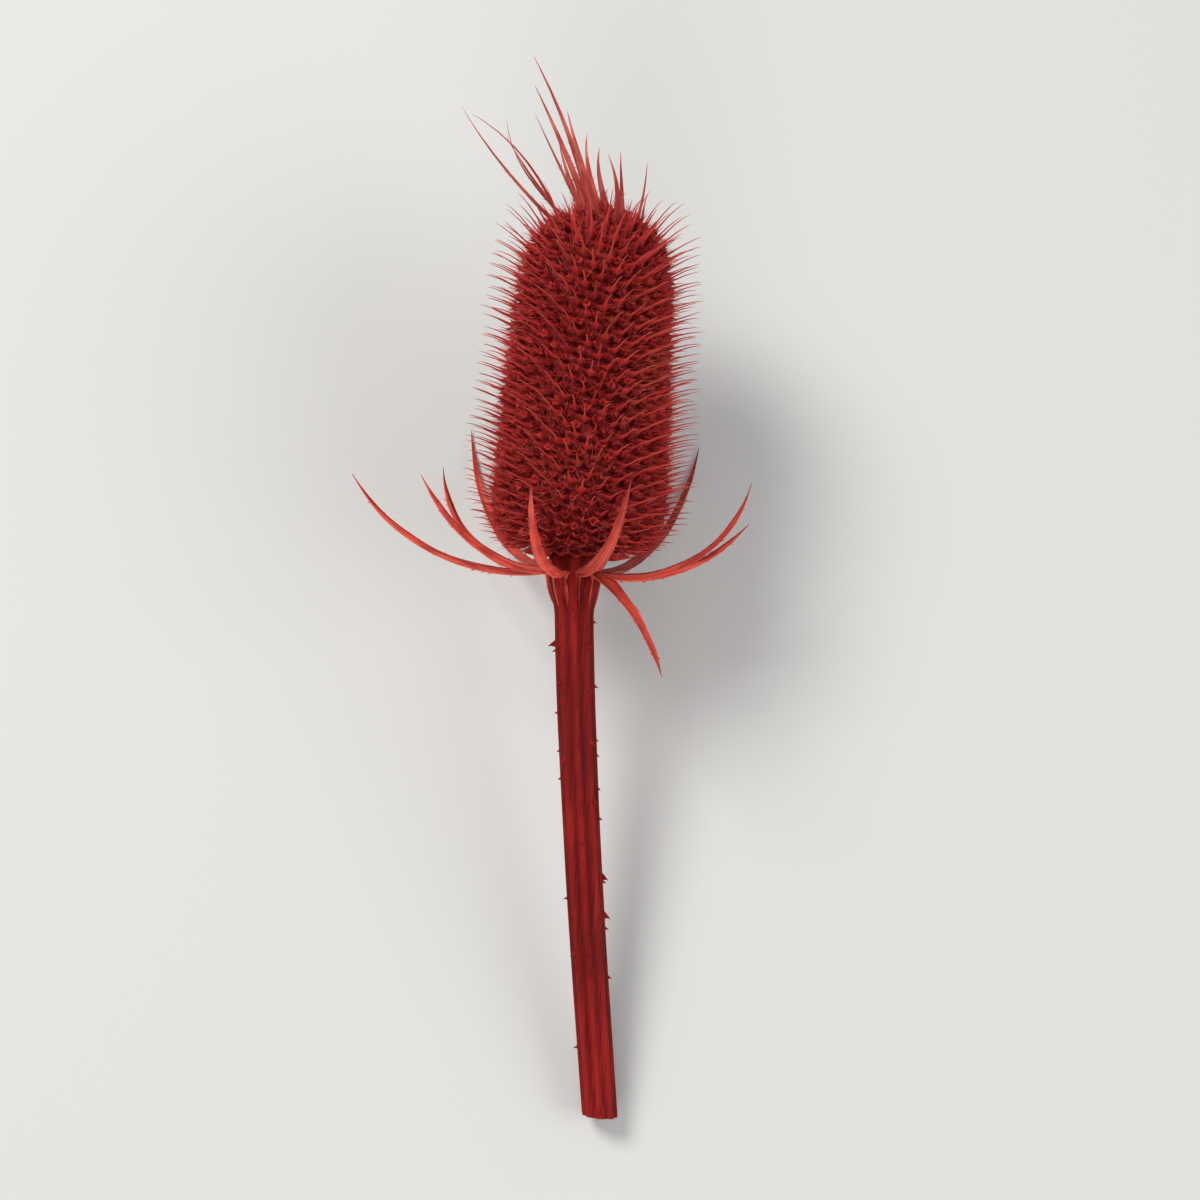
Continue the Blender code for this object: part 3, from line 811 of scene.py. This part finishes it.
def head_body():
    """The receptacle under the scales, on a short neck that goes down into the stem's disc."""
    skin = Skin()
    meridian = head_meridian()
    picked = np.linspace(0, MERIDIAN_STEPS - 1, BODY_RINGS).astype(int)[1:-1]
    angles = round_angles(BODY_SIDES)
    lift = meridian["lift"][picked]
    radius = np.maximum(meridian["radius"][picked] - BODY_DEPTH * np.cos(lift), 0.1 * MM)
    height = np.maximum(meridian["height"][picked] - BODY_DEPTH * np.sin(lift), FOOT_FLAT)
    neck_radius = np.array([DISC_RADIUS - 0.8 * MM, DISC_RADIUS - 0.4 * MM])
    body = (radius > neck_radius[-1]) | (height > FOOT_FLAT)
    radius = np.concatenate([neck_radius, radius[body]])
    height = np.concatenate([[DISC_TOP - 0.4 * MM, FOOT_FLAT - 0.1 * MM], height[body]])
    ring = np.stack([np.cos(angles), np.sin(angles), 0 * angles], axis=-1)
    points = ring[None] * radius[:, None, None] + UP * height[:, None, None]
    flat = points.reshape(-1, 3)
    skin.add(flat, loft_faces(len(radius), BODY_SIDES), flat / MM, np.zeros_like(flat))
    return skin


# The stem

RIDGE_POINTS = 26
CUT_SIDES = 96
ROUNDING = 0.5 * MM  # of the disc's and the cut's edges
SMALL_PRICKLES = 70
SMALL_REACH = (0.25, 0.5)  # how far the small prickles stand out, in millimetres
PRICKLE_ROOT = 0.25 * MM  # inside the stem
FINE_RELIEF = 0.035 * MM
BROAD_RELIEF = 0.05 * MM
RIDGE_FLAT = 0.22  # of the way from a ridge's crest to the groove stays level


def flare_share(height):
    """From 0 on the shaft to 1 on the disc."""
    return np.clip((height - DISC_FROM + FLARE_LENGTH) / FLARE_LENGTH, 0, 1)


def stem_radius(height):
    """The shaft thickens towards the head, and flares into the disc that carries it."""
    along = np.minimum(1, (height + STEM_LENGTH) / (DISC_FROM + STEM_LENGTH))
    shaft = CUT_RADIUS + (NECK_RADIUS - CUT_RADIUS) * along
    return shaft + (DISC_RADIUS - NECK_RADIUS) * flare_share(height) ** FLARE_CURVE


def stem_sweep(height):
    """How far the stem has bent to one side of the head's axis, growing towards its cut end."""
    return STEM_SWEEP * np.maximum(-height / STEM_LENGTH, 0) ** SWEEP_POWER


def waves(angle, height, rng, count, turns):
    """Fine relief that runs along the stem: waves round it whose phase drifts up its length."""
    relief = 0
    for _ in range(count):
        phase, drift, pace, strength = rng.uniform((0, 1, 20, 0.4), (2 * math.pi, 3, 60, 1))
        wander = drift * np.sin(height / STEM_LENGTH * pace / 6 + phase)
        relief = relief + strength * np.sin(rng.integers(*turns) * angle + wander + 2 * phase)
    return relief / count


def stem_surface(rng):
    """The ridged shaft and the disc as one closed skin, from inside the cut to the disc's top."""
    skin = Skin()
    angle = round_angles(RIDGES * RIDGE_POINTS)
    height = np.concatenate([
        PITH_DEPTH * np.array([2.0, 0.4, 0]) - STEM_LENGTH,
        np.linspace(-STEM_LENGTH, DISC_FROM - FLARE_LENGTH, 130),
        np.linspace(DISC_FROM - FLARE_LENGTH, DISC_FROM, 18)[1:],
        np.linspace(DISC_FROM, DISC_TOP, 8)[1:],
    ])
    grid_angle, grid_height = np.meshgrid(angle, height)
    from_crest = np.abs((grid_angle * RIDGES / math.pi + 1) % 2 - 1)
    crest = np.clip((from_crest - RIDGE_FLAT) / (1 - RIDGE_FLAT), 0, 1)
    hollow = np.sin(crest * math.pi / 2) ** 1.3
    depth = (1 - GROOVE_SHARE) * (1 - flare_share(grid_height))
    base = stem_radius(grid_height)
    radius = base * (1 - depth * hollow)
    radius -= FINE_RELIEF * (1 + waves(grid_angle, grid_height, rng, 7, (28, 70)))
    radius -= BROAD_RELIEF * (1 + waves(grid_angle, grid_height, rng, 5, (9, 22)))
    top_edge = np.clip((grid_height - DISC_TOP) / ROUNDING + 1, 0, 1)
    radius -= 0.25 * MM * top_edge ** 2
    cut_edge = np.clip(1 - (grid_height + STEM_LENGTH) / ROUNDING, 0, 1)
    radius -= 0.05 * MM * cut_edge ** 2
    radius[:3] *= np.array([0.5, 0.89, 0.95])[:, None]  # turns inward at the cut, behind the pith
    outward = np.stack([np.cos(grid_angle), np.sin(grid_angle), 0 * grid_angle], axis=-1)
    points = outward * radius[..., None] + UP * grid_height[..., None]
    points[..., 0] += stem_sweep(grid_height)
    flat = points.reshape(-1, 3)
    along = (grid_height + STEM_LENGTH) / STEM_LENGTH
    # The third column is high on the ridges' crests and low in the grooves; the stalk's material paints
    # a highlight and shade by it
    blade = stack_rows([along, 0 * along, (1 - hollow) * 0.9])
    skin.add(flat, loft_faces(len(height), len(angle)), flat[:, [0, 2, 1]] / MM, blade)
    return skin


def cut_surface(rng):
    """The cut end as a thin plug: a rough rim of wood round a shallow hollow of torn pith."""
    skin = Skin()
    angle = round_angles(CUT_SIDES)
    reach = np.array([0.03, 0.3, 0.6, 0.85, 1.0, 1.12, 1.5, 1.9, CUT_RADIUS * 0.94 / MM]) * MM
    sunk = np.array([1.0, 0.95, 1.0, 0.9, 0.6, 0.1, 0.0, 0.0, 0.1]) * PITH_DEPTH * 0.8
    grid_angle, grid_reach = np.meshgrid(angle, reach)
    ridge = np.abs((grid_angle * RIDGES / math.pi + 1) % 2 - 1)
    edge = np.clip((grid_reach / MM - 1.5) / 0.6, 0, 1)
    grid_reach = grid_reach * (1 - 0.13 * ridge * edge)
    level = -STEM_LENGTH - 0.03 * MM + sunk[:, None] + rng.normal(0, 0.045 * MM, grid_reach.shape)
    points = np.stack([np.cos(grid_angle) * grid_reach, np.sin(grid_angle) * grid_reach, level], axis=-1)
    lid = points[::-1].copy()
    lid[..., 2] = -STEM_LENGTH + PITH_DEPTH + 0.4 * MM
    lid[..., :2] *= 0.8
    rings = np.concatenate([points, lid])
    along = np.hypot(rings[..., 0], rings[..., 1]).ravel() / CUT_RADIUS
    rings[..., 0] += stem_sweep(rings[..., 2])
    flat = rings.reshape(-1, 3)
    blade = np.stack([along, 0 * along, 0 * along], axis=-1)
    skin.add(flat, loft_faces(len(rings), CUT_SIDES), flat / MM, blade)
    return skin


def prickle_places():
    """Foot, azimuth and height of each prickle, by the draws that placed them in the solids."""
    draw = random.Random(STEM_SEED)
    rows = np.linspace(-STEM_LENGTH, DISC_FROM - FLARE_LENGTH, SHAFT_RINGS)
    crest_faces = (SHAFT_RINGS - 1) * RIDGES
    towards_head = [draw.random() ** PRICKLE_CROWDING for _ in range(PRICKLES)]
    for number in sorted({int(share * crest_faces) for share in towards_head}):
        row, ridge = divmod(number, RIDGES)
        middle = float(rows[row] + rows[row + 1]) / 2
        yield 2 * math.pi * ridge / RIDGES, middle, PRICKLE_HEIGHT * draw.uniform(*PRICKLE_SHARE)


def stem_prickles(draw):
    """Broad-footed prickles on the ridges, hooked towards the cut end, with small ones between."""
    skin = Skin()
    places = [(azimuth, height, reach, 1.0) for azimuth, height, reach in prickle_places()]
    for _ in range(SMALL_PRICKLES):
        azimuth = 2 * math.pi * draw.randrange(RIDGES) / RIDGES
        height = -STEM_LENGTH * (1 - draw.random() ** 0.7) * 0.9 - 8 * MM * draw.random()
        height = max(height, -0.96 * STEM_LENGTH)
        places.append((azimuth, height, draw.uniform(*SMALL_REACH) * MM, 0.5))
    angles = round_angles(10)
    along = np.array([0.0, 0.15, 0.38, 0.65, 0.88, 1.0])
    for azimuth, height, reach, size in places:
        outward, sideways = round_axis(azimuth + draw.uniform(-0.05, 0.05))
        foot = outward * (stem_radius(height) - PRICKLE_ROOT) + UP * height
        foot[0] += stem_sweep(height)
        centres = foot + outward * ((reach + PRICKLE_ROOT) * along)[:, None]
        centres = centres - UP * (PRICKLE_HOOK * size * along ** 1.8)[:, None]
        shrink = (1 - along) ** 1.25 + 0.03
        wide = 0.24 * MM * size * shrink[:, None] * np.cos(angles)
        tall = 0.62 * MM * size * shrink[:, None] * np.sin(angles)
        section = np.stack([wide, tall], axis=-1)
        sides = np.repeat(sideways[None], len(along), axis=0)
        rises = np.repeat(np.cross(outward, sideways)[None], len(along), axis=0)
        skin.loft(centres, sides, rises, section, along, draw.uniform(0.5, 1.0))
    return skin


# The bracts

FOOT_RUN = 4.4 * MM  # how far a bract's foot runs down the stem
SPINE_SHARE = 0.15  # of a bract's length narrows to its spine
FOOT_RINGS = 12
BRACT_RINGS = 64
BRACT_COLUMNS = 15
BRACT_THICKNESS = 0.20 * MM
TIP_THICKNESS = 0.04 * MM
MIDRIB = 0.30 * MM
NERVE = 0.035 * MM
EDGE_RIPPLE = 0.09 * MM
TEETH_PER_MM = 1.1
BRACT_TRIM = 0.97  # a little narrower than the solid
THIN_SHARE = 0.22  # of a bract's length thins to its tip


def bract_shape(number, draw):
    """Length, first and last lift, sway and turn of one bract, as in the solids."""
    length = draw.uniform(*BRACT_LENGTH_RANGE)
    lifts = (draw.uniform(*FIRST_LIFT_RANGE), draw.uniform(*LAST_LIFT_RANGE))
    sway = draw.uniform(-1, 1) * BRACT_SWAY
    turn = draw.uniform(-1, 1) * BRACT_TURN
    if number in REST_BRACTS:
        return REST_BRACT_LENGTH, REST_LIFT, 0, 0
    if number == 0:
        return SHORT_BRACT_LENGTH, SHORT_LIFT, 0, 0
    if number == HANGING_BRACT:
        return HANGING_BRACT_LENGTH, HANGING_LIFT, sway, turn
    return length, lifts, sway, turn


def bract_half_width(along):
    swell = BRACT_FOOT_SHARE + (1 - BRACT_FOOT_SHARE) * along / BRACT_WIDEST_AT
    taper = np.clip((along - BRACT_WIDEST_AT) / (1 - BRACT_WIDEST_AT), 0, 1) ** BRACT_TAPER
    width = BRACT_WIDTH + (BRACT_TIP_WIDTH - BRACT_WIDTH) * taper
    return np.where(along < BRACT_WIDEST_AT, BRACT_WIDTH * swell, width) / 2


def bract_line(azimuth, length, lifts, sway, along):
    """Centre, tangent, side and inward rise at shares along a bract's arc."""
    first, last = lifts
    outward, sideways = round_axis(azimuth)
    radius = length / (last - first)
    lift = (first + (last - first) * along)[:, None]
    start = outward * (DISC_RADIUS + 0.3 * MM) + UP * BRACT_HEIGHT
    points = start + outward * radius * (np.sin(lift) - math.sin(first))
    points = points + UP * radius * (math.cos(first) - np.cos(lift))
    points = points + sideways * sway * (np.maximum(along, 0) ** 2)[:, None]
    tangents = outward * np.cos(lift) + UP * np.sin(lift)
    tangents = unit(tangents + sideways * (2 * sway * np.maximum(along, 0) / length)[:, None])
    rises = UP * np.cos(lift) - outward * np.sin(lift)
    sides = np.cross(rises, tangents)
    return points, tangents, sides, rises


def bract_foot(azimuth, start, slope):
    """Centre line of a bract's foot, which runs up the stem's flare as a rib and turns outward."""
    outward, _ = round_axis(azimuth)
    low, turn = BRACT_HEIGHT - FOOT_RUN, BRACT_HEIGHT - FOOT_RUN / 2
    root = outward * (stem_radius(low) - 0.5 * MM) + UP * low
    root[0] += stem_sweep(low)
    bend = outward * (stem_radius(turn) + 0.15 * MM) + UP * turn
    along = np.linspace(0, 1, FOOT_RINGS + 1)[:-1]
    points, tangents = bezier((root, bend, start - slope * 0.7 * MM, start), along)
    rises = unit(UP * (tangents @ outward)[:, None] - outward * (tangents @ UP)[:, None])
    return points, tangents, np.cross(rises, tangents), rises


def bract_skin(azimuth, length, lifts, sway, draw):
    """A thin folded blade with a raised midrib, side nerves, rolled wavy edges and small teeth."""
    skin = Skin()
    along = np.linspace(0, 1, BRACT_RINGS) ** 1.05
    blade = bract_line(azimuth, length, lifts, sway, along)
    foot = bract_foot(azimuth, blade[0][0], blade[1][0])
    points, _, sides, rises = (np.concatenate(pair) for pair in zip(foot, blade))
    half = bract_half_width(along) * BRACT_TRIM
    half *= np.clip((1 - along) / SPINE_SHARE, 0, 1) ** 0.6
    half[-1] = 0.02 * MM
    foot_half = half[0] * np.linspace(0.05, 1, FOOT_RINGS + 1)[:-1] ** 0.65
    half = np.concatenate([foot_half, half])
    along = np.concatenate([np.zeros(FOOT_RINGS), along])
    spread = np.linspace(-1, 1, BRACT_COLUMNS)
    tip = np.clip((1 - along) / THIN_SHARE, 0.12, 1)
    thick = (BRACT_THICKNESS * tip + TIP_THICKNESS)[:, None]
    phase, pace = draw.uniform(0, 6), draw.uniform(14, 22)
    ripple = EDGE_RIPPLE * np.sin(pace * along + phase)[:, None] * np.abs(spread) ** 3
    fold = (BRACT_FOLD * 2 * half)[:, None] * np.abs(spread) ** 1.25
    roll = -0.10 * half[:, None] * np.clip((np.abs(spread) - 0.75) / 0.25, 0, 1) ** 2
    middle = fold + (ripple + roll) * tip[:, None]
    nerve = NERVE * np.cos(spread * math.pi * 5) * tip[:, None]
    rib = MIDRIB * np.exp(-(spread / 0.16) ** 2) * tip[:, None]
    round_edge = np.sqrt(np.clip(1 - np.abs(spread) ** 6, 0.02, 1))
    rise = (thick / 2 + nerve * 0.6) * round_edge
    upper, lower = middle + rise, middle - rise - rib
    across = half[:, None] * spread
    below = np.stack([across, lower], axis=-1)
    above = np.stack([across, upper], axis=-1)[:, ::-1]
    section = np.concatenate([below, above[:, 1:-1]], axis=1)
    skin.loft(points, sides, rises, section, along, draw.random())
    add_teeth(skin, azimuth, length, lifts, sway, draw)
    return skin


def add_teeth(skin, azimuth, length, lifts, sway, draw):
    """Small forward-pointing teeth on both edges of a bract and on its keel."""
    count = int(length / MM * TEETH_PER_MM)
    along = np.array([draw.uniform(0.06, 0.86) for _ in range(count)])
    flank = np.array([draw.choice((-1, 0, 1)) for _ in range(count)])
    points, tangents, sides, rises = bract_line(azimuth, length, lifts, sway, along)
    half = bract_half_width(along)
    on_edge, on_keel = np.abs(flank), (flank == 0)[:, None]
    edge = sides * (flank * half * 0.9)[:, None] + rises * (BRACT_FOLD * 1.6 * half * on_edge)[:, None]
    keel = rises * (-0.32 * MM * on_keel)
    directions = tangents * 0.85 + sides * (flank * 0.6)[:, None] - rises * (0.6 * on_keel)
    lengths = np.array([draw.uniform(0.35, 0.8) for _ in range(count)]) * MM
    widths = np.array([draw.uniform(0.14, 0.22) for _ in range(count)]) * MM
    needles(skin, points + edge + keel, directions, lengths, widths, np.full(count, 0.35))


# Stage, light and camera

FLOOR_REACH = 3.0
AIM = Vector((0, 0, 0.02))
CROWN_ROOM = 18 * MM  # above the head, for the crown's blades
PICTURE_SHARE = 0.86  # of the picture's height is filled


def add_light(name, place, size, power, colour):
    lamp = bpy.data.lights.new(name, "AREA")
    lamp.shape = "DISK"
    lamp.size = size
    lamp.energy = power
    lamp.color = colour
    holder = new_object(name, lamp)
    holder.location = place
    holder.rotation_euler = (AIM - Vector(place)).to_track_quat("-Z", "Y").to_euler()


def floor_material():
    material = bpy.data.materials.new("pale floor")
    material.use_nodes = True
    shader = material.node_tree.nodes["Principled BSDF"]
    shader.inputs["Base Color"].default_value = (0.56, 0.56, 0.55, 1)
    shader.inputs["Roughness"].default_value = 0.9
    shader.inputs["Specular IOR Level"].default_value = 0.1
    return material


def add_stage():
    """A wide pale floor, a pale sky and three soft lamps."""
    mesh = bpy.data.meshes.new("floor")
    sides = ((-1, -1), (1, -1), (1, 1), (-1, 1))
    corners = [(x * FLOOR_REACH, y * FLOOR_REACH, 0) for x, y in sides]
    mesh.from_pydata(corners, [], [(0, 1, 2, 3)])
    mesh.materials.append(floor_material())
    floor = new_object("floor", mesh)
    floor.location.z = CAD_BOX[0].z - 0.05 * MM
    floor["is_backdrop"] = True
    world = bpy.data.worlds.new("soft room")
    world.use_nodes = True
    sky = world.node_tree.nodes["Background"]
    sky.inputs["Color"].default_value = (1, 1, 1, 1)
    sky.inputs["Strength"].default_value = 0.42
    bpy.context.scene.world = world
    add_light("key", (-0.42, 0.30, 0.62), 0.34, 5.5, (1.0, 0.98, 0.95))
    add_light("fill", (0.55, -0.10, 0.42), 0.50, 2.0, (0.95, 0.97, 1.0))
    add_light("front", (-0.05, -0.60, 0.35), 0.40, 1.5, (1.0, 0.98, 0.96))


def add_camera():
    """Looks square on to the plant from above, with the crown at the top of the picture.

    The picture's upright runs from the cut end to the crown, so the head leans a little to the right.
    """
    low, high = -STEM_LENGTH, HEAD_LENGTH + CROWN_ROOM
    cut_end = PLANT @ Vector((STEM_SWEEP, 0, low))
    crown = PLANT @ Vector((0, 0, HEAD_LENGTH))
    upright = (crown - cut_end).normalized()
    towards = (PLANT.to_3x3() @ Vector((0, -1, 0))).normalized()
    across = upright.cross(towards)
    middle = cut_end + upright * (high - low) / 2
    data = bpy.data.cameras.new("camera")
    data.lens = 85
    data.sensor_width = 36
    half_view = math.atan(data.sensor_width / 2 / data.lens)
    distance = (high - low) / 2 / PICTURE_SHARE / math.tan(half_view)
    camera = new_object("camera", data)
    turn = Matrix((across, upright, towards)).transposed().to_4x4()
    camera.matrix_world = Matrix.Translation(middle + towards * distance) @ turn
    bpy.context.scene.camera = camera


def main():
    scales, fuzz = scale_material(), fuzz_material()
    stalk, bract = stem_material(), bract_material()
    rng = np.random.default_rng(LOOK_SEED)
    draw = random.Random(LOOK_SEED)
    sites = awned_sites()
    foot = foot_sites(draw)
    sides = [site for site in sites if not site["crown"]]
    crown = [site for site in sites if site["crown"]]
    add_piece("head_scales", head_scales(sides + foot, draw), scales, ["head"], sharp=50)
    add_piece("head_crown", head_scales(crown, draw), crown_material(), sharp=50)
    add_piece("head_hairs", head_hairs(sites + foot, rng), fuzz)
    add_piece("head_tufts", head_tufts(sites + foot, rng), fuzz)
    add_piece("head_husks", head_husks(sites, draw), fuzz)
    add_piece("head_body", head_body(), body_material())
    add_piece("stem_shaft", stem_surface(rng), stalk, ["stem"], sharp=60)
    add_piece("stem_cut", cut_surface(rng), pith_material())
    add_piece("stem_prickles", stem_prickles(draw), stalk)
    shapes = random.Random(BRACT_SEED)
    for number in range(BRACTS):
        length, lifts, sway, turn = bract_shape(number, shapes)
        azimuth = 2 * math.pi * number / BRACTS + turn
        skin = bract_skin(azimuth, length, lifts, sway, draw)
        add_piece(f"fine_bract_{number + 1}", skin, bract, [f"bract_{number + 1}"], sharp=60)
    add_stage()
    add_camera()
    bpy.context.scene.view_settings.view_transform = "Standard"
    boxes = {"cad": CAD_BOX, "visual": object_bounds()}
    {name: [list(corner) for corner in box] for name, box in boxes.items()}


main()
